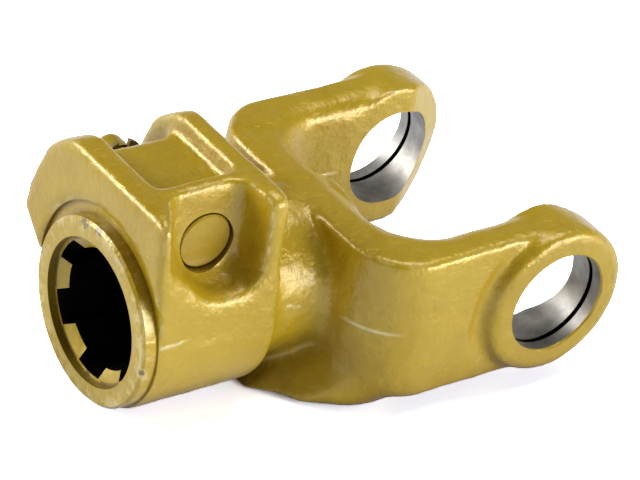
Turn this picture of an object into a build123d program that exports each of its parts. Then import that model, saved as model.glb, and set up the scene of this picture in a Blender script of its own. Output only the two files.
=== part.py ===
"""Forged drive shaft yoke with a spring loaded lock pin.

The origin is the joint centre, where the cross bore axis meets the hub axis.
+X runs from the hub towards the ears, Y is the cross bore axis and +Z is the side of the pin boss.
"""
from build123d import *
from math import atan, cos, degrees, radians, sin, sqrt, tan
import os

os.makedirs("parts", exist_ok=True)

# Cross bores and ears
cross_bore_radius = 13.5
ear_radius = 20.2
ear_face_reach = 42.4
ear_thickness = 16.4
ear_edge_round = 2.6
ear_bevel_start = 5.0
ear_bevel_angle = 29.4
ear_valley_gap = 2.2
ear_valley_inset = 0.6
ear_valley_radius = 3.0
ring_groove_inset = 4.9
ring_groove_width = 1.3
ring_groove_depth = 0.8
bore_edge_chamfer = 0.5

# Arms and crown of the fork
ear_pad_rise = 1.8
arm_half_height = 20.0
forging_draft = 5.0
throat_reach = 38.5
crown_depth = 16.0
crown_corner_radius = 17.0
throat_corner_radius = 12.0
arm_inner_edge_round = 5.5
arm_outer_edge_round = 1.6

# Heel under the crown: six corners a side at its top and at its foot, from the throat round to the front
heel_top_drop = 11.5
heel_depth = 24.0
heel_top_run_shares = (0.12, -1.03, 0.34, 0.69, 0.88, 0.91)
heel_top_width_shares = (0.54, 0.9, 0.94, 0.825, 0.59, 0.345)
heel_foot_run_shares = (0.155, 0.13, 0.39, 0.735, 0.84, 1.0)
heel_foot_width_shares = (0.54, 0.83, 0.805, 0.65, 0.5, 0.38)
heel_corner_radius = 4.0

# Hub, neck and collar along the hub axis
neck_length = 16.0
boss_length = 35.5
collar_length = 2.0
hub_radius = 24.3
neck_step = 3.8
neck_fillet_share = 0.58
neck_run_out = 0.5
hub_rear_round_share = 0.36
collar_step = 1.0
collar_edge_chamfer = 0.7
spot_width = 3.2
spot_depth = 1.8

# Six splined bore
spline_count = 6
spline_start_angle = 90.0
spline_minor_radius = 14.9
spline_major_radius = 17.45
spline_space_width = 8.7
mouth_bore_radius = 18.4
mouth_bore_depth = 2.0
lead_in_depth = 1.9

# Lock pin, placed so that a thin wall is left between its stem and the splines
pin_offset = 16.0
pin_radius = 7.1
pin_stem_radius = 4.0
pin_stem_wall = 0.55
pin_fit = 0.1
pin_shoulder_reach = 0.6
pin_tip_reach = 32.6
pin_tip_round = 2.6
pin_edge_chamfer = 0.4

# Return spring and its retaining ring
spring_wire_radius = 0.5
spring_seat_reach = 12.2
spring_pocket_radius = 8.1
spring_base_radius = 7.4
spring_tip_radius = 4.9
spring_turns = 2.5
spring_end_gap = 0.05
ring_thickness = 1.2
ring_outer_radius = 5.9
ring_inner_radius = 3.5
ring_fit = 0.05
ring_gap_width = 3.0
ring_reach = 24.2

# Pin boss with its two guard walls
housing_roof = 1.3
pocket_depth = 5.3
boss_side_reach = 24.0
boss_side_draft = 3.5
boss_side_foot = 3.0
boss_near_corner_radius = 8.5
guard_crown_rise = 4.2
guard_arc_drop = 8.3
guard_far_reach = 35.1
guard_far_height = 14.6
guard_low_reach = 35.4
guard_low_height = 8.2
guard_toe_reach = 27.5
guard_toe_height = 0.5
guard_corner_radius = 4.0
front_guard_thickness = 8.0
rear_guard_thickness = 6.0
pocket_near_reach = 6.4
housing_far_reach = 19.0
pocket_round = 3.0
boss_edge_round = 1.4

# Seat scoop round the near end of the pin
seat_reach = 12.0
seat_lean = 5.0
seat_rear_run = 9.3
seat_slant_run = 4.0
seat_front_run = 10.5
seat_bottom_drop = 8.9
seat_slant_rise = 2.4
seat_corner_radius = 6.0
seat_flare = 1.6
seat_front_flare = 9.0
seat_floor_round = 3.2

# Overrun that lets every cut pass its face
overrun = 4.0

# Reaches across the fork
arm_outer_reach = ear_face_reach - ear_pad_rise
ear_inner_reach = ear_face_reach - ear_thickness
arm_mid_reach = (arm_outer_reach + ear_inner_reach) / 2
ring_groove_reach = ear_face_reach - ring_groove_inset

# Reaches along the hub axis
crown_front_reach = throat_reach + crown_depth
crown_mid_reach = (crown_front_reach + throat_reach) / 2
boss_rear_reach = crown_front_reach + neck_length
boss_front_reach = boss_rear_reach + boss_length
mouth_reach = boss_front_reach + collar_length
pin_reach = boss_rear_reach + pin_offset
front_guard_inner = boss_front_reach - front_guard_thickness
rear_guard_inner = boss_rear_reach + rear_guard_thickness
pocket_length = front_guard_inner - rear_guard_inner
pocket_middle = (front_guard_inner + rear_guard_inner) / 2

# Radii of the hub and heights of the boss, built up from the splined bore
neck_radius = hub_radius - neck_step
collar_radius = hub_radius - collar_step
spot_radius = collar_radius + spot_width
pin_height = spline_major_radius + pin_stem_wall + pin_fit + pin_stem_radius
pocket_floor_height = pin_height + spring_pocket_radius + housing_roof
boss_top_height = pocket_floor_height + pocket_depth
guard_radius = boss_top_height + guard_crown_rise


# Fork plan, extruded both ways from the parting plane with draft
with BuildPart() as fork:
    with BuildSketch(Plane.XY):
        with BuildLine():
            Polyline(
                (0, arm_outer_reach),
                (-crown_front_reach, arm_outer_reach),
                (-crown_front_reach, -arm_outer_reach),
                (0, -arm_outer_reach),
                (0, -ear_inner_reach),
                (-throat_reach, -ear_inner_reach),
                (-throat_reach, ear_inner_reach),
                (0, ear_inner_reach),
                close=True,
            )
        make_face()
        corners = vertices().group_by(Axis.X)
        fillet(corners[0], radius=crown_corner_radius)
        fillet(vertices().filter_by_position(Axis.X, -throat_reach, -throat_reach), radius=throat_corner_radius)
    extrude(amount=arm_half_height, both=True, taper=forging_draft)
    for flat in (faces().sort_by(Axis.Z)[-1], faces().sort_by(Axis.Z)[0]):
        outer_edges = [
            edge for edge in flat.edges()
            if edge.center().X < -arm_inner_edge_round and abs(edge.center().Y) > arm_mid_reach
            or edge.center().X < -crown_mid_reach
        ]
        fillet(outer_edges, radius=arm_outer_edge_round)
    for flat in (faces().sort_by(Axis.Z)[-1], faces().sort_by(Axis.Z)[0]):
        throat_edges = [
            edge for edge in flat.edges()
            if -crown_mid_reach < edge.center().X < -arm_inner_edge_round and abs(edge.center().Y) < arm_mid_reach
        ]
        fillet(throat_edges, radius=arm_inner_edge_round)
    # Shallow valley round each ear, where the arm runs into its pad
    with BuildSketch(Plane.XY):
        with Locations((-ear_radius - ear_valley_gap, ear_face_reach - ear_valley_inset)):
            Circle(ear_valley_radius)
        mirror(about=Plane.XZ)
    revolve(axis=Axis.Y, mode=Mode.SUBTRACT)

# Heel that carries the crown down and forwards to the underside of the hub
heel_length = boss_rear_reach - throat_reach
heel_top_corners = [
    (-throat_reach - run * crown_depth, width * arm_outer_reach)
    for run, width in zip(heel_top_run_shares, heel_top_width_shares)
]
heel_foot_corners = [
    (-throat_reach - run * heel_length, width * arm_outer_reach)
    for run, width in zip(heel_foot_run_shares, heel_foot_width_shares)
]
with BuildPart() as heel:
    for height, corners in ((-heel_top_drop, heel_top_corners), (-heel_depth, heel_foot_corners)):
        with BuildSketch(Plane.XY.offset(height)):
            with BuildLine():
                Polyline(*corners, (corners[-1][0], 0), (corners[0][0], 0), close=True)
            make_face()
            mirror(about=Plane.XZ)
            fillet(vertices().sort_by(Axis.X)[:-4], radius=heel_corner_radius)
    loft(ruled=True)

# One ear, turned about the cross bore axis, its inner face with draft and a bevel to the tip
bevel_end = ear_radius + overrun
bevel_rise = (bevel_end - ear_bevel_start) * tan(radians(ear_bevel_angle))
with BuildPart() as ear:
    with BuildSketch(Plane.XZ.offset(-ear_face_reach)):
        Circle(ear_radius)
    extrude(amount=ear_thickness + overrun)
    fillet(edges().group_by(Axis.Y)[-1], radius=ear_edge_round)
    with BuildSketch(Plane.XY):
        with BuildLine():
            Polyline(
                (-bevel_end, 0),
                (-bevel_end, ear_inner_reach),
                (ear_bevel_start, ear_inner_reach),
                (bevel_end, ear_inner_reach + bevel_rise),
                (bevel_end, 0),
                close=True,
            )
        make_face()
    extrude(amount=ear_radius + overrun, both=True, taper=-forging_draft, mode=Mode.SUBTRACT)

# Hub, neck and collar as one turned shape about the hub axis
with BuildPart() as hub:
    with BuildSketch(Plane.XY):
        with BuildLine():
            Polyline(
                (-mouth_reach, 0),
                (-mouth_reach, collar_radius - collar_edge_chamfer),
                (-mouth_reach + collar_edge_chamfer, collar_radius),
                (-boss_front_reach, collar_radius),
                (-boss_front_reach, hub_radius),
                (-boss_rear_reach, hub_radius),
                (-boss_rear_reach, neck_radius),
                (-crown_front_reach, neck_radius),
                (-crown_mid_reach, arm_half_height - neck_run_out),
                (-crown_mid_reach, 0),
                close=True,
            )
        make_face()
        step_corners = vertices().filter_by_position(Axis.X, -boss_rear_reach, -boss_rear_reach).sort_by(Axis.Y)
        fillet(step_corners[0], radius=neck_fillet_share * neck_step)
        fillet(
            vertices().filter_by_position(Axis.X, -boss_rear_reach, -boss_rear_reach).sort_by(Axis.Y)[-1],
            radius=hub_rear_round_share * neck_step,
        )
    revolve(axis=Axis.X)

# Boss section, drawn across the hub and drawn out along it
boss_side_rise = boss_top_height - boss_side_foot
boss_side_lean = boss_side_rise * tan(radians(boss_side_draft))
guard_top_reach = sqrt(guard_radius**2 - boss_top_height**2)
guard_arc_end_height = boss_top_height - guard_arc_drop
guard_arc_end_reach = sqrt(guard_radius**2 - guard_arc_end_height**2)
guard_mid_height = (boss_top_height + guard_arc_end_height) / 2
guard_mid_reach = sqrt(guard_radius**2 - guard_mid_height**2)
with BuildPart() as boss:
    with BuildSketch(Plane.YZ.offset(-boss_front_reach)):
        with BuildLine():
            Polyline(
                (guard_toe_reach, guard_toe_height),
                (hub_radius / 2, -hub_radius / 2),
                (-hub_radius / 2, -hub_radius / 2),
                (-boss_side_reach, boss_side_foot),
                (-boss_side_reach + boss_side_lean, boss_top_height),
                (guard_top_reach, boss_top_height),
            )
            ThreePointArc(
                (guard_top_reach, boss_top_height),
                (guard_mid_reach, guard_mid_height),
                (guard_arc_end_reach, guard_arc_end_height),
            )
            Polyline(
                (guard_arc_end_reach, guard_arc_end_height),
                (guard_far_reach, guard_far_height),
                (guard_low_reach, guard_low_height),
                (guard_toe_reach, guard_toe_height),
            )
        make_face()
        lobe_corners = [corner for corner in vertices() if corner.Y > hub_radius and corner.Z < boss_top_height]
        fillet(lobe_corners, radius=guard_corner_radius)
        fillet(vertices().group_by(Axis.Z)[-1].sort_by(Axis.Y)[0], radius=boss_near_corner_radius)
    extrude(amount=boss_front_reach - boss_rear_reach)
    fillet(edges().group_by(Axis.X)[-1] + edges().group_by(Axis.X)[0], radius=boss_edge_round)

# Pocket between the guard walls, over the pin housing and beyond its far face
pocket_reach = guard_radius + overrun
pocket_rise = guard_radius + overrun
with BuildPart() as pocket:
    with BuildSketch(Plane.XY.offset(pocket_floor_height)):
        with Locations((-pocket_middle, (pocket_reach - pocket_near_reach) / 2)):
            Rectangle(pocket_length, pocket_reach + pocket_near_reach)
    extrude(amount=pocket_rise - pocket_floor_height)
    fillet(edges().group_by(Axis.Z)[0].group_by(Axis.Y)[0], radius=pocket_round)

# Open space beyond the housing, down to the turned hub
with BuildPart() as recess:
    with BuildSketch(Plane.XZ.offset(-pocket_reach)):
        with Locations((-pocket_middle, 0)):
            Rectangle(pocket_length, 2 * pocket_rise)
    extrude(amount=pocket_reach - housing_far_reach)
    fillet(edges().filter_by(Axis.Z).group_by(Axis.Y)[0], radius=pocket_round)
    with BuildSketch(Plane.YZ.offset(-boss_front_reach)):
        Circle(hub_radius)
    extrude(amount=boss_front_reach - boss_rear_reach, mode=Mode.SUBTRACT)

# Scoop round the near end of the pin, narrowest at its leaning floor
seat_plane = Plane(
    origin=(0, -seat_reach, pin_height),
    x_dir=(1, 0, 0),
    z_dir=(0, -cos(radians(seat_lean)), sin(radians(seat_lean))),
)
seat_rear_reach = pin_reach - seat_rear_run
seat_slant_reach = pin_reach + seat_slant_run
seat_front_reach = pin_reach + seat_front_run
seat_depth = boss_side_reach - seat_reach + overrun
seat_top = boss_top_height - pin_height + 2 * overrun
with BuildPart() as seat:
    with BuildSketch(seat_plane):
        with BuildLine():
            Polyline(
                (-seat_rear_reach, seat_top),
                (-seat_rear_reach, -seat_bottom_drop),
                (-seat_slant_reach, -seat_bottom_drop),
                (-seat_front_reach, seat_slant_rise),
                (-seat_front_reach, seat_top),
                close=True,
            )
        make_face()
        fillet(vertices().group_by(Axis.Y)[0], radius=seat_corner_radius)
    with BuildSketch(seat_plane.offset(seat_depth)):
        with BuildLine():
            Polyline(
                (-seat_rear_reach + seat_flare, seat_top),
                (-seat_rear_reach + seat_flare, -seat_bottom_drop - seat_flare),
                (-seat_slant_reach - seat_flare, -seat_bottom_drop - seat_flare),
                (-seat_front_reach - seat_front_flare, seat_slant_rise - seat_flare),
                (-seat_front_reach - seat_front_flare, seat_top),
                close=True,
            )
        make_face()
        fillet(vertices().group_by(Axis.Y)[0], radius=seat_corner_radius)
    loft()
    fillet(faces().sort_by(Axis.Y)[-1].edges(), radius=seat_floor_round)

# Spline bore: the minor bore and six tooth spaces
with BuildPart() as spline:
    with BuildSketch(Plane.YZ.offset(-mouth_reach - overrun)):
        Circle(spline_minor_radius)
        with PolarLocations(0, spline_count, start_angle=spline_start_angle):
            with Locations((spline_major_radius / 2, 0)):
                Rectangle(spline_major_radius, spline_space_width)
        Circle(spline_major_radius, mode=Mode.INTERSECT)
    extrude(amount=mouth_reach)

with BuildPart() as yoke:
    add(fork.part)
    add(heel.part)
    add(ear.part)
    mirror(ear.part, about=Plane.XZ)
    add(hub.part)
    add(boss.part)
    add(pocket.part, mode=Mode.SUBTRACT)
    add(recess.part, mode=Mode.SUBTRACT)
    add(seat.part, mode=Mode.SUBTRACT)
    # Turned spot face round the collar
    with BuildSketch(Plane.YZ.offset(-boss_front_reach - overrun)):
        Circle(spot_radius)
        Circle(collar_radius, mode=Mode.SUBTRACT)
    extrude(amount=overrun + spot_depth, mode=Mode.SUBTRACT)
    # Mouth counterbore, lead-in cone and splines
    with BuildSketch(Plane.YZ.offset(-mouth_reach - overrun)):
        Circle(mouth_bore_radius)
    extrude(amount=overrun + mouth_bore_depth, mode=Mode.SUBTRACT)
    with BuildSketch(Plane.XY):
        with BuildLine():
            Polyline(
                (-mouth_reach + mouth_bore_depth, 0),
                (-mouth_reach + mouth_bore_depth, spline_major_radius),
                (-mouth_reach + mouth_bore_depth + lead_in_depth, spline_minor_radius),
                (-mouth_reach + mouth_bore_depth + lead_in_depth, 0),
                close=True,
            )
        make_face()
    revolve(axis=Axis.X, mode=Mode.SUBTRACT)
    add(spline.part, mode=Mode.SUBTRACT)
    # Cross bores with a retaining ring groove in each
    with BuildSketch(Plane.XZ.offset(-ear_face_reach - overrun)):
        Circle(cross_bore_radius)
    extrude(amount=2 * (ear_face_reach + overrun), mode=Mode.SUBTRACT)
    for side in (1, -1):
        with BuildSketch(Plane.XZ.offset(-side * ring_groove_reach)):
            Circle(cross_bore_radius + ring_groove_depth)
        extrude(amount=-side * ring_groove_width, mode=Mode.SUBTRACT)
    for side in (1, -1):
        ends = sorted((side * ear_face_reach - bore_edge_chamfer, side * ear_face_reach + bore_edge_chamfer))
        rims = edges().filter_by(GeomType.CIRCLE).filter_by_position(Axis.Y, *ends)
        chamfer(rims.sort_by(SortBy.RADIUS)[0], length=bore_edge_chamfer)
    # Stepped hole for the lock pin
    with BuildSketch(Plane.XZ.offset(boss_side_reach)):
        with Locations((-pin_reach, pin_height)):
            Circle(pin_radius + pin_fit)
    extrude(amount=-boss_side_reach - pin_shoulder_reach, mode=Mode.SUBTRACT)
    with BuildSketch(Plane.XZ):
        with Locations((-pin_reach, pin_height)):
            Circle(pin_stem_radius + pin_fit)
    extrude(amount=-housing_far_reach - overrun, mode=Mode.SUBTRACT)
    with BuildSketch(Plane.XZ.offset(-spring_seat_reach)):
        with Locations((-pin_reach, pin_height)):
            Circle(spring_pocket_radius)
    extrude(amount=-(housing_far_reach - spring_seat_reach + overrun), mode=Mode.SUBTRACT)

# Lock pin: a thick near end that fills the shaft groove and a thin stem with a rounded tip
ring_groove_start = ring_reach - ring_fit
ring_groove_end = ring_reach + ring_thickness + ring_fit
with BuildPart() as pin_turning:
    with BuildSketch(Plane.XY):
        with BuildLine():
            Polyline(
                (0, pin_tip_reach),
                (0, -seat_reach),
                (pin_radius - pin_edge_chamfer, -seat_reach),
                (pin_radius, -seat_reach + pin_edge_chamfer),
                (pin_radius, pin_shoulder_reach),
                (pin_stem_radius, pin_shoulder_reach),
                (pin_stem_radius, ring_groove_start),
                (ring_inner_radius - ring_fit, ring_groove_start),
                (ring_inner_radius - ring_fit, ring_groove_end),
                (pin_stem_radius, ring_groove_end),
                (pin_stem_radius, pin_tip_reach),
                close=True,
            )
        make_face()
        fillet(vertices().group_by(Axis.Y)[-1].sort_by(Axis.X)[-1], radius=pin_tip_round)
    revolve(axis=Axis.Y)

# Retaining ring, open on one side so that it springs into its groove
with BuildPart() as ring_blank:
    with BuildSketch(Plane.XZ.offset(-ring_reach)):
        Circle(ring_outer_radius)
        Circle(ring_inner_radius, mode=Mode.SUBTRACT)
        with Locations((0, ring_outer_radius / 2)):
            Rectangle(ring_gap_width, ring_outer_radius, mode=Mode.SUBTRACT)
    extrude(amount=-ring_thickness)

# Conical return spring, wound from the ring back to its seat in the housing
spring_start = ring_reach - spring_wire_radius - spring_end_gap
spring_length = spring_start - spring_seat_reach - spring_wire_radius - spring_end_gap
spring_cone_angle = degrees(atan((spring_base_radius - spring_tip_radius) / spring_length))
with BuildPart() as spring_coil:
    with BuildLine() as spring_path:
        Helix(
            pitch=spring_length / spring_turns,
            height=spring_length,
            radius=spring_tip_radius,
            center=(0, spring_start, 0),
            direction=(0, -1, 0),
            cone_angle=spring_cone_angle,
        )
    with BuildSketch(Plane(origin=spring_path.line @ 0, z_dir=spring_path.line % 0)):
        Circle(spring_wire_radius)
    sweep(is_frenet=True)

# The three pieces of the lock go to the pin's place in the boss
pin_place = Location((-pin_reach, 0, pin_height))
with BuildPart() as lock_pin:
    add(pin_turning.part.moved(pin_place))
with BuildPart() as retaining_ring:
    add(ring_blank.part.moved(pin_place))
with BuildPart() as pin_spring:
    add(spring_coil.part.moved(pin_place))

yoke.part.label = "yoke"
export_step(yoke.part, "parts/yoke.step")
lock_pin.part.label = "lock_pin"
export_step(lock_pin.part, "parts/lock_pin.step")
retaining_ring.part.label = "retaining_ring"
export_step(retaining_ring.part, "parts/retaining_ring.step")
pin_spring.part.label = "pin_spring"
export_step(pin_spring.part, "parts/pin_spring.step")
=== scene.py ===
"""Looks of the forged yoke: the forging gets soft forged edges and then its machined faces again, crisp."""
import math

import bmesh
import bpy
import numpy as np
from mathutils import Matrix, Vector, noise
from mathutils.kdtree import KDTree


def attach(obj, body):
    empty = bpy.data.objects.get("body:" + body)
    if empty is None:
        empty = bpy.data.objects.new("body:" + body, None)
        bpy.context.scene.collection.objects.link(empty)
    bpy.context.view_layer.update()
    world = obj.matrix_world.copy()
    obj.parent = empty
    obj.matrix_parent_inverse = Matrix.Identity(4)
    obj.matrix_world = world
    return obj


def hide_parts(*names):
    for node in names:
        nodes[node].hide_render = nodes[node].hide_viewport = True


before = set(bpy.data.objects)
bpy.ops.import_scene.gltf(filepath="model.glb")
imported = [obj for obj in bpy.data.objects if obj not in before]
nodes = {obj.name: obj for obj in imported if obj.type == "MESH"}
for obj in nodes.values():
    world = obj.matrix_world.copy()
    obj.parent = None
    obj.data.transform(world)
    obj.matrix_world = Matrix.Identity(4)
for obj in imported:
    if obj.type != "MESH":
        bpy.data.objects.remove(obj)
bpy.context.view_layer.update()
MM = 0.001
X, Y, Z = range(3)

# Sizes repeated from the solids, in millimetres. The hub lies along X, the cross bores and the pin along Y.
MOUTH, COLLAR_R, COLLAR_CHAMFER, COLLAR_BACK = 108.0, 23.3, 0.7, 100.0
BOSS_FRONT, SPOT_R, SPOT_DEPTH = 106.0, 26.5, 1.8
MINOR_R, MAJOR_R, SPACE_W, SPACES = 14.9, 17.45, 8.7, 6
COUNTERBORE_R, COUNTERBORE_DEPTH, LEAD_IN = 18.4, 2.0, 1.9
CROSS_R, EAR_FACE, EAR_INNER = 13.5, 42.4, 26.0
BEVEL_START, BEVEL_ANGLE, DRAFT = 5.0, math.radians(29.4), math.radians(5.0)
GROOVE_Y, GROOVE_W, GROOVE_DEPTH, BORE_CHAMFER = 37.5, 1.3, 0.8, 0.5
PIN_X, PIN_Z, PIN_R, STEM_R, PIN_FIT = -86.5, 22.1, 7.1, 4.0, 0.1
SEAT_Y, SEAT_LEAN, SHOULDER_Y = -12.0, math.radians(5.0), 0.6
SPRING_SEAT_Y, SPRING_POCKET_R, HOUSING_Y = 12.2, 8.1, 19.0
THROAT = 38.5
PIN_CENTRE = (PIN_X, 0.0, PIN_Z)

# Fillers are a little wider than the holes they fill, and cutters start and end in the open
HUB_FILL_R, EAR_FILL_R, PIN_FILL_R, PIN_FILL_END, SPRING_FILL_R = 18.8, 14.6, 7.4, 2.0, 8.2
AHEAD, FORK_GAP, BEYOND_EAR = -112.0, -30.0, 50.0
NEAR_SIDE, FAR_SIDE = -40.0, 30.0
SPACE_FLOOR, SPACE_STEPS, FIRST_SPACE = 12.0, 12, 90.0
PIN_GAP, PIN_GAP_DEPTH = 0.32, 1.6
HUB_TURNS, CROSS_TURNS, PIN_TURNS = 128, 160, 96

# The skin: its voxels, and how many rounds of smoothing each region gets. A region lists the axes along
# which its weight fades in, each with the place where that starts and the place where it is full.
VOXEL, WELD, SMOOTH_FACTOR = 0.8, 0.001, 0.5
FORGED_ROUNDS, HUB_ROUNDS, ROOT_ROUNDS, SEAT_ROUNDS = 9, 26, 110, 45
WEIGHT_STEPS = 20
HUB_TOP = ((X, -72.0, -76.0), (Z, 8.0, 14.0))
FORK_ROOT = ((X, -73.0, -67.0), (X, -36.0, -46.0), (Z, 15.0, 8.0))
PIN_SEAT = ((Y, -9.0, -11.5), (Z, PIN_Z + 9.0, PIN_Z + 1.0), (X, -103.0, -100.0))
SEAT_REACH = (19.0, 15.0)

# Waves left by the dies: length, shift of the noise and height. The skin sinks a little under them, so that
# they hardly reach past the solid's box.
WAVES = ((11.0, 0.0, 0.20), (4.0, 31.0, 0.12))
WAVE_SINK = 0.08


def new_object(name, bm):
    mesh = bpy.data.meshes.new(name)
    bm.normal_update()
    bm.to_mesh(mesh)
    bm.free()
    obj = bpy.data.objects.new(name, mesh)
    bpy.context.scene.collection.objects.link(obj)
    return obj


def place(along, radius, angle, axis, centre, lean):
    """A point of a turned surface, in metres. lean may move it."""
    u, v = radius * math.cos(angle), radius * math.sin(angle)
    point = Vector((along, u, v) if axis == "X" else (u, along, v))
    point += Vector(centre)
    if lean is not None:
        point = lean(point, along)
    return point * MM


def lathe(name, profile, axis, centre=(0.0, 0.0, 0.0), turns=HUB_TURNS, lean=None):
    """Closed turned solid. profile lists (along, radius) in mm and starts and ends on the axis."""
    bm = bmesh.new()
    rings = []
    for along, radius in profile:
        around = turns if radius > 0.0 else 1
        rings.append([bm.verts.new(place(along, radius, 2.0 * math.pi * k / turns, axis, centre, lean))
                      for k in range(around)])
    for a, b in zip(rings, rings[1:]):
        for k in range(turns):
            n = (k + 1) % turns
            if len(a) == 1:
                bm.faces.new((a[0], b[n], b[k]))
            elif len(b) == 1:
                bm.faces.new((a[k], a[n], b[0]))
            else:
                bm.faces.new((a[k], a[n], b[n], b[k]))
    bmesh.ops.recalc_face_normals(bm, faces=bm.faces)
    return new_object(name, bm)


def rod(start, end, radius):
    """Profile of a plain cylinder."""
    return [(start, 0.0), (start, radius), (end, radius), (end, 0.0)]


def apply_modifiers(obj):
    dg = bpy.context.evaluated_depsgraph_get()
    dg.update()
    mesh = bpy.data.meshes.new_from_object(obj.evaluated_get(dg))
    obj.modifiers.clear()
    old = obj.data
    obj.data = mesh
    bpy.data.meshes.remove(old)


def boolean(obj, cutter, operation="DIFFERENCE"):
    mod = obj.modifiers.new("cut", "BOOLEAN")
    mod.operation = operation
    mod.solver = "MANIFOLD"
    mod.object = cutter
    apply_modifiers(obj)
    bpy.data.objects.remove(cutter)


def ear_end(point, along):
    """Moves the inner end of an ear's filler onto the bevelled, drafted inner face of the ear."""
    if abs(along) == EAR_INNER:
        inner = EAR_INNER + max(0.0, point.x - BEVEL_START) * math.tan(BEVEL_ANGLE)
        point.y = math.copysign(inner + abs(point.z) * math.tan(DRAFT), along)
    return point


def seat_end(point, along):
    """Moves the near end of the pin's filler onto the leaning floor of the seat."""
    if along == SEAT_Y:
        point.y = SEAT_Y + (point.z - PIN_Z) * math.tan(SEAT_LEAN)
    return point


def forging_blank():
    """The solid yoke with its machined holes filled up again, as one voxel skin."""
    fillers = [
        lathe("fill_hub", rod(-MOUTH, -THROAT, HUB_FILL_R), "X"),
        lathe("fill_far", rod(EAR_INNER, EAR_FACE, EAR_FILL_R), "Y", lean=ear_end),
        lathe("fill_near", rod(-EAR_FACE, -EAR_INNER, EAR_FILL_R), "Y", lean=ear_end),
        lathe("fill_pin", rod(SEAT_Y, PIN_FILL_END, PIN_FILL_R), "Y", PIN_CENTRE, lean=seat_end),
        lathe("fill_spring", rod(0.0, HOUSING_Y, SPRING_FILL_R), "Y", PIN_CENTRE),
    ]
    bm = bmesh.new()
    bm.from_mesh(nodes["yoke"].data)
    bmesh.ops.remove_doubles(bm, verts=bm.verts, dist=WELD * MM)
    for filler in fillers:
        bm.from_mesh(filler.data)
        bpy.data.objects.remove(filler)
    blank = new_object("yoke_forging", bm)
    mod = blank.modifiers.new("skin", "REMESH")
    mod.mode = "VOXEL"
    mod.voxel_size = VOXEL * MM
    mod.adaptivity = 0.0
    apply_modifiers(blank)
    return blank


def ease(value, start, end):
    """0 before start, 1 after end, smooth between; start may be above end."""
    s = np.clip((value - start) / (end - start), 0.0, 1.0)
    return s * s * (3.0 - 2.0 * s)


def fade(points, region):
    """How far inside a region each point lies, from 0 to 1."""
    weight = 1.0
    for axis, start, full in region:
        weight = weight * ease(points[:, axis], start, full)
    return weight


def smooth(obj, rounds, weight=None):
    """Rounds the skin, everywhere or as much as weight says at each point."""
    mod = obj.modifiers.new("soft", "SMOOTH")
    mod.factor = SMOOTH_FACTOR
    mod.iterations = rounds
    if weight is not None:
        group = obj.vertex_groups.new(name="soft")
        steps = np.round(weight * WEIGHT_STEPS).astype(int)
        for step in range(1, WEIGHT_STEPS + 1):
            group.add(np.nonzero(steps == step)[0].tolist(), step / WEIGHT_STEPS, "REPLACE")
        mod.vertex_group = "soft"
    apply_modifiers(obj)
    obj.vertex_groups.clear()


def coords(mesh):
    """Places of the mesh's points, in millimetres."""
    co = np.zeros(len(mesh.vertices) * 3)
    mesh.vertices.foreach_get("co", co)
    return co.reshape(-1, 3) / MM


def normals(mesh):
    normal = np.zeros(len(mesh.vertices) * 3)
    mesh.vertex_normals.foreach_get("vector", normal)
    return normal.reshape(-1, 3)


def forged_skin(obj):
    """Puts the waves on the skin."""
    mesh = obj.data
    co = coords(mesh)
    normal = normals(mesh)
    wave = np.empty(len(co))
    for i, (x, y, z) in enumerate(co):
        wave[i] = sum(height * noise.noise(Vector((x / length + shift, y / length, z / length)))
                      for length, shift, height in WAVES) - WAVE_SINK
    co += normal * wave[:, None]
    mesh.vertices.foreach_set("co", (co * MM).ravel())
    mesh.update()


blank = forging_blank()
sharp = coords(blank.data)
smooth(blank, FORGED_ROUNDS)
cut_back = ((sharp - coords(blank.data)) * normals(blank.data)).sum(axis=1)
smooth(blank, HUB_ROUNDS, fade(coords(blank.data), HUB_TOP))
smooth(blank, ROOT_ROUNDS, fade(coords(blank.data), FORK_ROOT))
points = coords(blank.data)
from_pin = np.hypot(points[:, X] - PIN_X, points[:, Z] - PIN_Z)
smooth(blank, SEAT_ROUNDS, ease(from_pin, *SEAT_REACH) * fade(points, PIN_SEAT))
forged_skin(blank)

# Finds the point of the finished skin nearest to a place, for the pale edges (worn paint and painted
# highlight)
edge_finder = KDTree(len(cut_back))
for i, point in enumerate(coords(blank.data)):
    edge_finder.insert(point, i)
edge_finder.balance()


def spline_space(k):
    """One tooth space: a bar whose outer face follows the major circle."""
    middle = math.radians(FIRST_SPACE + 360.0 / SPACES * k)
    half = math.asin(SPACE_W / 2 / MAJOR_R)
    section = [(SPACE_FLOOR, -SPACE_W / 2), (SPACE_FLOOR, SPACE_W / 2)]
    for s in range(SPACE_STEPS + 1):
        a = half - 2 * half * s / SPACE_STEPS
        section.append((MAJOR_R * math.cos(a), MAJOR_R * math.sin(a)))
    c, d = math.cos(middle), math.sin(middle)
    bm = bmesh.new()
    front, back = [[bm.verts.new(Vector((x, c * u - d * v, d * u + c * v)) * MM) for u, v in section]
                   for x in (AHEAD, FORK_GAP)]
    bm.faces.new(front)
    bm.faces.new(list(reversed(back)))
    for i in range(len(section)):
        j = (i + 1) % len(section)
        bm.faces.new((front[i], back[i], back[j], front[j]))
    bmesh.ops.recalc_face_normals(bm, faces=bm.faces)
    return new_object("space", bm)


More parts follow.
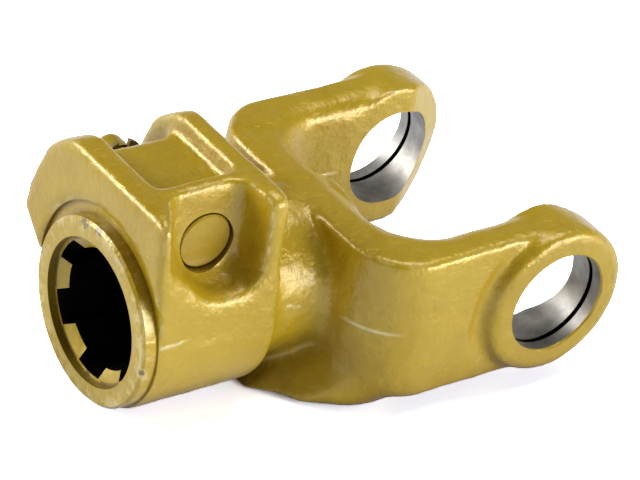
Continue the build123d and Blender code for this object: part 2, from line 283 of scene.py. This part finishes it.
# The turned collar and the machined faces, crisp again
boolean(blank, lathe("face", rod(AHEAD, -BOSS_FRONT + SPOT_DEPTH, SPOT_R), "X"))
boolean(blank, lathe("collar", [
    (-MOUTH, 0.0), (-MOUTH, COLLAR_R - COLLAR_CHAMFER), (-MOUTH + COLLAR_CHAMFER, COLLAR_R),
    (-COLLAR_BACK, COLLAR_R), (-COLLAR_BACK, 0.0)], "X"), "UNION")
counterbore_end = -MOUTH + COUNTERBORE_DEPTH
boolean(blank, lathe("mouth", [
    (AHEAD, 0.0), (AHEAD, COUNTERBORE_R), (counterbore_end, COUNTERBORE_R), (counterbore_end, MAJOR_R),
    (counterbore_end + LEAD_IN, MINOR_R), (FORK_GAP, MINOR_R), (FORK_GAP, 0.0)], "X"))
for k in range(SPACES):
    boolean(blank, spline_space(k))
far_half = [
    (GROOVE_Y, CROSS_R), (GROOVE_Y, CROSS_R + GROOVE_DEPTH),
    (GROOVE_Y + GROOVE_W, CROSS_R + GROOVE_DEPTH), (GROOVE_Y + GROOVE_W, CROSS_R),
    (EAR_FACE - BORE_CHAMFER, CROSS_R), (EAR_FACE, CROSS_R + BORE_CHAMFER),
    (BEYOND_EAR, CROSS_R + BORE_CHAMFER), (BEYOND_EAR, 0.0)]
near_half = [(-along, radius) for along, radius in reversed(far_half)]
boolean(blank, lathe("cross", near_half + far_half, "Y", turns=CROSS_TURNS))
boolean(blank, lathe("pin_hole", [
    (NEAR_SIDE, 0.0), (NEAR_SIDE, PIN_R + PIN_FIT), (SHOULDER_Y, PIN_R + PIN_FIT),
    (SHOULDER_Y, STEM_R + PIN_FIT), (SPRING_SEAT_Y, STEM_R + PIN_FIT), (SPRING_SEAT_Y, SPRING_POCKET_R),
    (FAR_SIDE, SPRING_POCKET_R), (FAR_SIDE, 0.0)], "Y", PIN_CENTRE, turns=PIN_TURNS))
boolean(blank, lathe("pin_rim", rod(NEAR_SIDE, SEAT_Y + PIN_GAP_DEPTH, PIN_R + PIN_GAP), "Y", PIN_CENTRE,
                     turns=PIN_TURNS))


def material(name):
    mat = bpy.data.materials.new(name)
    mat.use_nodes = True
    return mat, mat.node_tree, mat.node_tree.nodes["Principled BSDF"]


def add(tree, kind, **inputs):
    node = tree.nodes.new(kind)
    for key, value in inputs.items():
        node.inputs[key].default_value = value
    return node


def chain(tree, operation, *values):
    """One Math node, its inputs given as numbers or sockets."""
    node = tree.nodes.new("ShaderNodeMath")
    node.operation = operation
    for k, value in enumerate(values):
        if isinstance(value, (int, float)):
            node.inputs[k].default_value = value
        else:
            tree.links.new(value, node.inputs[k])
    return node.outputs[0]


def ramp_node(tree, factor, stops):
    node = tree.nodes.new("ShaderNodeValToRGB")
    ramp = node.color_ramp
    while len(ramp.elements) < len(stops):
        ramp.elements.new(0.5)
    for element, (position, colour) in zip(ramp.elements, stops):
        element.position = position
        element.color = tuple(colour) + (1.0,)
    tree.links.new(factor, node.inputs["Fac"])
    return node.outputs["Color"]


def remap(tree, value, start, end, out=(0.0, 1.0), kind="LINEAR"):
    """out[0] up to start, out[1] from end on; start may be above end."""
    node = tree.nodes.new("ShaderNodeMapRange")
    node.interpolation_type = kind
    for key, number in zip(("From Min", "From Max", "To Min", "To Max"), (start, end) + tuple(out)):
        node.inputs[key].default_value = number
    tree.links.new(value, node.inputs["Value"])
    return node.outputs["Result"]


def between(tree, value, start, end):
    """0 up to start, 1 from end on, smooth between; start may be above end."""
    return remap(tree, value, start, end, kind="SMOOTHSTEP")


def noise_at(tree, point, scale, detail, roughness=0.5, slice_at=None):
    """Noise from 0 to 1. slice_at picks another pattern of the same kind."""
    node = add(tree, "ShaderNodeTexNoise", Scale=scale, Detail=detail, Roughness=roughness)
    if slice_at is not None:
        node.noise_dimensions = "4D"
        node.inputs["W"].default_value = slice_at
    tree.links.new(point, node.inputs["Vector"])
    return node.outputs["Fac"]


def over(tree, factor, under, colour, blend="MIX"):
    """The colour socket under, covered by a plain colour as far as factor says."""
    node = tree.nodes.new("ShaderNodeMix")
    node.data_type = "RGBA"
    node.blend_type = blend
    tree.links.new(factor, node.inputs["Factor"])
    tree.links.new(under, node.inputs[6])
    node.inputs[7].default_value = colour + (1.0,)
    return node.outputs[2]


def bumped(tree, height, strength, distance, below=None):
    """Bump from a height, on top of the bump below."""
    node = add(tree, "ShaderNodeBump", Strength=strength, Distance=distance)
    tree.links.new(height, node.inputs["Height"])
    if below is not None:
        tree.links.new(below, node.inputs["Normal"])
    return node.outputs["Normal"]


# The ridge where the two dies met, in metres. It climbs from the fork to the hub, and shows on the hub, the
# crown and the inside of the fork, not on the outside of the arms and not on the turned collar.
RIDGE_X, RIDGE_Z, RIDGE_HALF = (-0.058, -0.070), (0.0006, 0.0043), 0.0008
RIDGE_NOISE, RIDGE_WANDER = (90.0, 2.0), 0.0016
RIDGE_BREAKS, BREAK_SLICE, BREAK_LIMITS = (75.0, 3.0), 7.0, (0.46, 0.54)
HUB_FROM_X, INSIDE_FROM_Y, COLLAR_FROM_X = (-0.042, -0.050), (0.0285, 0.0275), (-0.1042, -0.1036)
RIDGE_BUMP = (0.5, 0.00025)


def flash_line(tree, point):
    """How much of the thin broken ridge is at a point, from 0 to 1."""
    split = tree.nodes.new("ShaderNodeSeparateXYZ")
    tree.links.new(point, split.inputs[0])
    x, y, z = (split.outputs[axis] for axis in "XYZ")
    level = remap(tree, x, *RIDGE_X, out=RIDGE_Z)
    wander = noise_at(tree, point, *RIDGE_NOISE)
    shift = chain(tree, "MULTIPLY_ADD", wander, RIDGE_WANDER, -RIDGE_WANDER / 2)
    off = chain(tree, "ABSOLUTE", chain(tree, "ADD", chain(tree, "SUBTRACT", z, level), shift))
    ridge = between(tree, off, RIDGE_HALF, 0.0)
    unbroken = between(tree, noise_at(tree, point, *RIDGE_BREAKS, slice_at=BREAK_SLICE), *BREAK_LIMITS)
    on_hub = between(tree, x, *HUB_FROM_X)
    inside = remap(tree, chain(tree, "ABSOLUTE", y), *INSIDE_FROM_Y)
    where = chain(tree, "MULTIPLY", chain(tree, "MAXIMUM", on_hub, inside), between(tree, x, *COLLAR_FROM_X))
    return chain(tree, "MULTIPLY", chain(tree, "MULTIPLY", ridge, unbroken), where)


# Noise of the paint as scale per metre, detail and roughness, and its bumps from fine to broad, each with
# strength and height in metres
TONE, FLECKS, CHIP_NOISE, PATCHES = (38.0, 6.0, 0.6), (330.0, 3.0, 0.6), (900.0, 3.0, 0.6), (170.0, 3.0, 0.6)
PAINT_BUMPS = (((1300.0, 2.0, 0.6), 0.3, 0.0001), ((420.0, 3.0, 0.6), 0.8, 0.0005),
               ((190.0, 2.0, 0.5), 0.5, 0.0010))
TONE_STOPS, FLECK_LIMITS, PATCH_LIMITS, GLOSS_SPREAD = (0.32, 0.68), (0.44, 0.60), (0.3, 0.7), (-0.07, 0.09)
PAINT_LOOK = {"IOR": 1.5, "Metallic": 0.15, "Coat Weight": 0.45, "Coat Roughness": 0.2}
# Pale gold on edges and along the ridge: partly worn paint, partly painted highlight
WEAR_AND_HIGHLIGHT_COLOUR, WEAR_AND_HIGHLIGHT_SHARE = (0.92, 0.80, 0.38), 0.75
# Painted shade: folds and hollows found by ambient occlusion get this darker colour multiplied in (colour,
# reach in metres, samples, limits)
PAINTED_SHADE_COLOUR, PAINTED_SHADE_REACH, PAINTED_SHADE_SAMPLES, PAINTED_SHADE_LIMITS = (0.30, 0.25, 0.08), 0.024, 6, (0.72, 0.15)

# Places where the paint is chipped off an edge, and how wide each is, in millimetres
CHIPS = [((-108.0, 6.5, 21.6), 1.5), ((-108.0, 0.5, 22.6), 1.3), ((-108.0, -22.8, -2.0), 0.9),
         ((12.0, -42.2, 15.6), 1.1), ((19.0, -42.2, 1.5), 1.2), ((16.5, -42.2, -9.5), 1.0),
         ((6.0, 42.2, 18.5), 1.1)]
CHIP_COLOUR, CHIP_SHARE = (0.19, 0.105, 0.05), 0.8
# As shares of a chip's width: how ragged its rim is, and where it starts and is full
CHIP_RAGGED, CHIP_START, CHIP_FULL = -3.2, -0.55, -0.95


def chipped(tree, point, colour):
    """The colour with the chips on it."""
    rim = noise_at(tree, point, *CHIP_NOISE)
    for centre, width in CHIPS:
        near = tree.nodes.new("ShaderNodeVectorMath")
        near.operation = "DISTANCE"
        tree.links.new(point, near.inputs[0])
        near.inputs[1].default_value = [v * MM for v in centre]
        ragged = chain(tree, "MULTIPLY_ADD", rim, CHIP_RAGGED * width * MM, near.outputs["Value"])
        spot = between(tree, ragged, CHIP_START * width * MM, CHIP_FULL * width * MM)
        colour = over(tree, chain(tree, "MULTIPLY", spot, CHIP_SHARE), colour, CHIP_COLOUR)
    return colour


def paint(name, low, high, rough=0.34, flash=False, skin=1.0):
    """Gloss paint between two tones, pale edges of wear and painted highlight, painted shade in folds. skin
    is how much it is bumped.
    """
    mat, tree, shader = material(name)
    point = tree.nodes.new("ShaderNodeTexCoord").outputs["Object"]
    colour = ramp_node(tree, noise_at(tree, point, *TONE), list(zip(TONE_STOPS, (low, high))))
    edge = tree.nodes.new("ShaderNodeAttribute")
    edge.attribute_name = "edge_wear_and_highlight"
    flecks = between(tree, noise_at(tree, point, *FLECKS), *FLECK_LIMITS)
    worn_and_highlit = chain(tree, "MULTIPLY", edge.outputs["Fac"], flecks)
    if flash:
        ridge = flash_line(tree, point)
        worn_and_highlit = chain(tree, "MAXIMUM", worn_and_highlit, ridge)
    # The pale gold mixed in here is partly worn paint and partly painted highlight
    colour = over(tree, chain(tree, "MULTIPLY", worn_and_highlit, WEAR_AND_HIGHLIGHT_SHARE), colour, WEAR_AND_HIGHLIGHT_COLOUR)
    # Painted shade: the colour is darkened where ambient occlusion finds the paint closed in
    open_air = add(tree, "ShaderNodeAmbientOcclusion", Distance=PAINTED_SHADE_REACH)
    open_air.samples = PAINTED_SHADE_SAMPLES
    painted_shade = between(tree, open_air.outputs["AO"], *PAINTED_SHADE_LIMITS)
    colour = over(tree, painted_shade, colour, PAINTED_SHADE_COLOUR, "MULTIPLY")
    if flash:
        colour = chipped(tree, point, colour)
    tree.links.new(colour, shader.inputs["Base Color"])
    gloss = remap(tree, noise_at(tree, point, *PATCHES), *PATCH_LIMITS, out=[rough + d for d in GLOSS_SPREAD])
    tree.links.new(gloss, shader.inputs["Roughness"])
    for key, value in PAINT_LOOK.items():
        shader.inputs[key].default_value = value
    normal = None
    for grain, strength, height in PAINT_BUMPS:
        normal = bumped(tree, noise_at(tree, point, *grain), strength * skin, height, normal)
    if flash:
        normal = bumped(tree, ridge, *RIDGE_BUMP, normal)
    tree.links.new(normal, shader.inputs["Normal"])
    return mat


# Steel: its tones and the fine marks of turning, much closer along Y than round it
STEEL_TONE, STEEL_STOPS = (160.0, 5.0, 0.65), (0.35, 0.65)
TURNED, TURNED_SCALE, TURNED_BUMP = (160.0, 3.0, 0.6), (1.0, 22.0, 1.0), (0.25, 0.0001)


def steel(name, low, high, rough, metallic=1.0):
    mat, tree, shader = material(name)
    point = tree.nodes.new("ShaderNodeTexCoord").outputs["Object"]
    colour = ramp_node(tree, noise_at(tree, point, *STEEL_TONE), list(zip(STEEL_STOPS, (low, high))))
    tree.links.new(colour, shader.inputs["Base Color"])
    shader.inputs["Roughness"].default_value = rough
    shader.inputs["Metallic"].default_value = metallic
    cuts = add(tree, "ShaderNodeMapping", Scale=TURNED_SCALE)
    tree.links.new(point, cuts.inputs["Vector"])
    marks = noise_at(tree, cuts.outputs["Vector"], *TURNED)
    tree.links.new(bumped(tree, marks, *TURNED_BUMP), shader.inputs["Normal"])
    return mat


golden = paint("golden_paint", (0.50, 0.322, 0.009), (0.585, 0.402, 0.015), flash=True)
pin_gold = paint("pin_paint", (0.48, 0.322, 0.014), (0.55, 0.375, 0.020), skin=0.5)
# Painted shade: a much darker paint for the counterbore wall, which lies in shadow behind the collar
counterbore_shade_paint = paint("counterbore_painted_shade", (0.20, 0.130, 0.008), (0.30, 0.200, 0.012), rough=0.5, skin=0.5)
bare = steel("bare_steel", (0.30, 0.28, 0.25), (0.50, 0.48, 0.44), 0.52)
# Bare steel darkened to near black as painted shade, for the spline bore and the ear grooves, which lie in
# shade
shade_black_steel = steel("steel_black_as_painted_shade", (0.006, 0.005, 0.004), (0.02, 0.017, 0.014), 0.55)
ring_steel = steel("ring_steel", (0.27, 0.20, 0.06), (0.40, 0.31, 0.11), 0.45, metallic=0.4)

# Pale edges are partly worn paint and partly painted highlight
# Pale edges: how far smoothing cut each point back from a sharp edge, and how near it is to the collar's rim
EDGE_WEAR_AND_HIGHLIGHT_LIMITS, RIM_IN, RIM_LIMITS, RIM_FRONT = (0.10, 0.30), 0.3, (0.7, 0.2), (0.9, 0.5)
mesh = blank.data
points = coords(mesh)
edge_wear_and_highlight = ease(np.array([cut_back[edge_finder.find(point)[1]] for point in points]), *EDGE_WEAR_AND_HIGHLIGHT_LIMITS)
on_front = ease(points[:, X], *(-MOUTH + d for d in RIM_FRONT))
off_rim = np.abs(np.hypot(points[:, Y], points[:, Z]) - COLLAR_R + RIM_IN)
edge_wear_and_highlight = np.maximum(edge_wear_and_highlight, on_front * ease(off_rim, *RIM_LIMITS))
layer = mesh.attributes.new("edge_wear_and_highlight", "FLOAT", "POINT")
layer.data.foreach_set("value", edge_wear_and_highlight.astype(np.float32))


def within(values, low, high):
    return (values > low) & (values < high)


# Which faces of the forging aren't golden, told by where their centres lie. The margins, in millimetres, keep
# the faces beside a machined face out.
mesh.materials.clear()
for mat in (golden, bare, shade_black_steel, counterbore_shade_paint):
    mesh.materials.append(mat)
GOLDEN, BARE, SHADE_BLACK, COUNTERBORE_SHADE = range(4)
WALL_MARGIN, FACE_MARGIN, EDGE_MARGIN, SPLINE_MARGIN, STEP_MARGIN = 0.02, 0.05, 0.1, 0.2, 0.3
BORE_MARGIN, THROAT_MARGIN = 1.5, 1.0
centres = np.zeros(len(mesh.polygons) * 3)
mesh.polygons.foreach_get("center", centres)
centres = centres.reshape(-1, 3) / MM
x, y, z = centres.T
cross_r, hub_r, pin_r = np.hypot(x, z), np.hypot(y, z), np.hypot(x - PIN_X, z - PIN_Z)
bore_wall = CROSS_R + WALL_MARGIN
in_groove = within(cross_r, bore_wall, bore_wall + GROOVE_DEPTH)
in_groove &= within(np.abs(y), GROOVE_Y - EDGE_MARGIN, EAR_FACE - BORE_MARGIN)
in_splines = within(x, counterbore_end + LEAD_IN + SPLINE_MARGIN, -THROAT - THROAT_MARGIN)
in_splines &= (hub_r < MAJOR_R + FACE_MARGIN) & (pin_r > PIN_R + PIN_FIT + EDGE_MARGIN)
in_counterbore = within(x, -MOUTH + FACE_MARGIN, counterbore_end + FACE_MARGIN)
in_counterbore &= within(hub_r, MAJOR_R + STEP_MARGIN, COUNTERBORE_R + EDGE_MARGIN)
index = np.full(len(mesh.polygons), GOLDEN, dtype=np.int32)
index[cross_r < bore_wall] = BARE
# The grooves and the tooth spaces get the near-black steel as painted shade
index[in_groove | in_splines] = SHADE_BLACK
# The counterbore wall gets the darker paint as painted shade
index[in_counterbore] = COUNTERBORE_SHADE
mesh.polygons.foreach_set("material_index", index)

# Edges sharper than this, in degrees, are shaded sharp
SHARP_ANGLE = 38.0
mesh.polygons.foreach_set("use_smooth", np.ones(len(mesh.polygons), dtype=bool))
mesh.set_sharp_from_angle(angle=math.radians(SHARP_ANGLE))
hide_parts("yoke")
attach(blank, "forging")

for name, mat in (("lock_pin", pin_gold), ("retaining_ring", ring_steel), ("pin_spring", ring_steel)):
    obj = nodes[name]
    obj.data.materials.clear()
    obj.data.materials.append(mat)

# The floor is whiter to the camera than to the part, so that its shadow stays tight
FLOOR_Z, FLOOR_SIZE = -24.35, 6.0
FLOOR_TONE, FLOOR_TO_GLOSS, FLOOR_TO_CAMERA = 0.88, 1.2, 3.9
FLOOR_TINT = {"Red": 0.92, "Green": 0.97, "Blue": 1.13}
bm = bmesh.new()
bmesh.ops.create_grid(bm, x_segments=1, y_segments=1, size=FLOOR_SIZE)
floor = new_object("floor", bm)
floor.location = (0.0, 0.0, FLOOR_Z * MM)
floor_mat, tree, shader = material("floor_pale")
tree.nodes.remove(shader)
seen = tree.nodes.new("ShaderNodeLightPath").outputs
tone = chain(tree, "MULTIPLY_ADD", seen["Is Camera Ray"], FLOOR_TO_CAMERA - FLOOR_TONE, FLOOR_TONE)
tone = chain(tree, "MULTIPLY_ADD", seen["Is Glossy Ray"], FLOOR_TO_GLOSS - FLOOR_TONE, tone)
cool = tree.nodes.new("ShaderNodeCombineColor")
for channel, share in FLOOR_TINT.items():
    tree.links.new(chain(tree, "MULTIPLY", tone, share), cool.inputs[channel])
plain = tree.nodes.new("ShaderNodeBsdfDiffuse")
tree.links.new(cool.outputs["Color"], plain.inputs["Color"])
tree.links.new(plain.outputs["BSDF"], tree.nodes["Material Output"].inputs["Surface"])
floor.data.materials.append(floor_mat)

# Sky: how bright it is at each height, from the horizon to overhead
SKY_LEVELS = ((0.0, 1.0), (0.1, 0.85), (0.26, 0.10), (1.0, 0.06))
world = bpy.data.worlds.new("studio")
bpy.context.scene.world = world
world.use_nodes = True
sky = world.node_tree
aim = sky.nodes.new("ShaderNodeTexCoord")
part = sky.nodes.new("ShaderNodeSeparateXYZ")
sky.links.new(aim.outputs["Generated"], part.inputs[0])
dome = ramp_node(sky, part.outputs["Z"], [(height, (level,) * 3) for height, level in SKY_LEVELS])
sky.links.new(dome, sky.nodes["Background"].inputs["Color"])
sky.nodes["Background"].inputs["Strength"].default_value = 1.0

# Soft lamps: direction towards the lamp, how bright it makes a white surface that faces it, and its width in
# degrees
SUNS = (("front_right", (0.54, -0.83, 0.13), 0.93, 37.0), ("back_left", (-0.62, 0.66, 0.42), 0.74, 30.0),
        ("overhead", (0.30, 0.10, 0.95), 0.34, 30.0))
for name, towards, share, width in SUNS:
    data = bpy.data.lights.new(name, "SUN")
    data.energy = math.pi * share
    data.angle = math.radians(width)
    obj = bpy.data.objects.new(name, data)
    bpy.context.scene.collection.objects.link(obj)
    obj.rotation_euler = Vector(towards).to_track_quat("Z", "Y").to_euler()

# Camera, solved from the photograph: its place in millimetres and its own axes
CAMERA_AT = (-492.903, -528.728, 460.770)
CAMERA_RIGHT, CAMERA_UP = (0.811078, -0.566928, 0.144035), (0.220361, 0.524243, 0.822563)
CAMERA_BACK = (-0.541843, -0.635423, 0.550131)
camera = bpy.data.cameras.new("camera")
camera.sensor_width = 36.0
camera.lens = 192.366
camera.clip_end = 20.0
cam = bpy.data.objects.new("camera", camera)
bpy.context.scene.collection.objects.link(cam)
turn = Matrix((CAMERA_RIGHT, CAMERA_UP, CAMERA_BACK)).transposed().to_4x4()
cam.matrix_world = Matrix.Translation(Vector(CAMERA_AT) * MM) @ turn
bpy.context.scene.camera = cam
bpy.context.scene.view_settings.view_transform = "Standard"
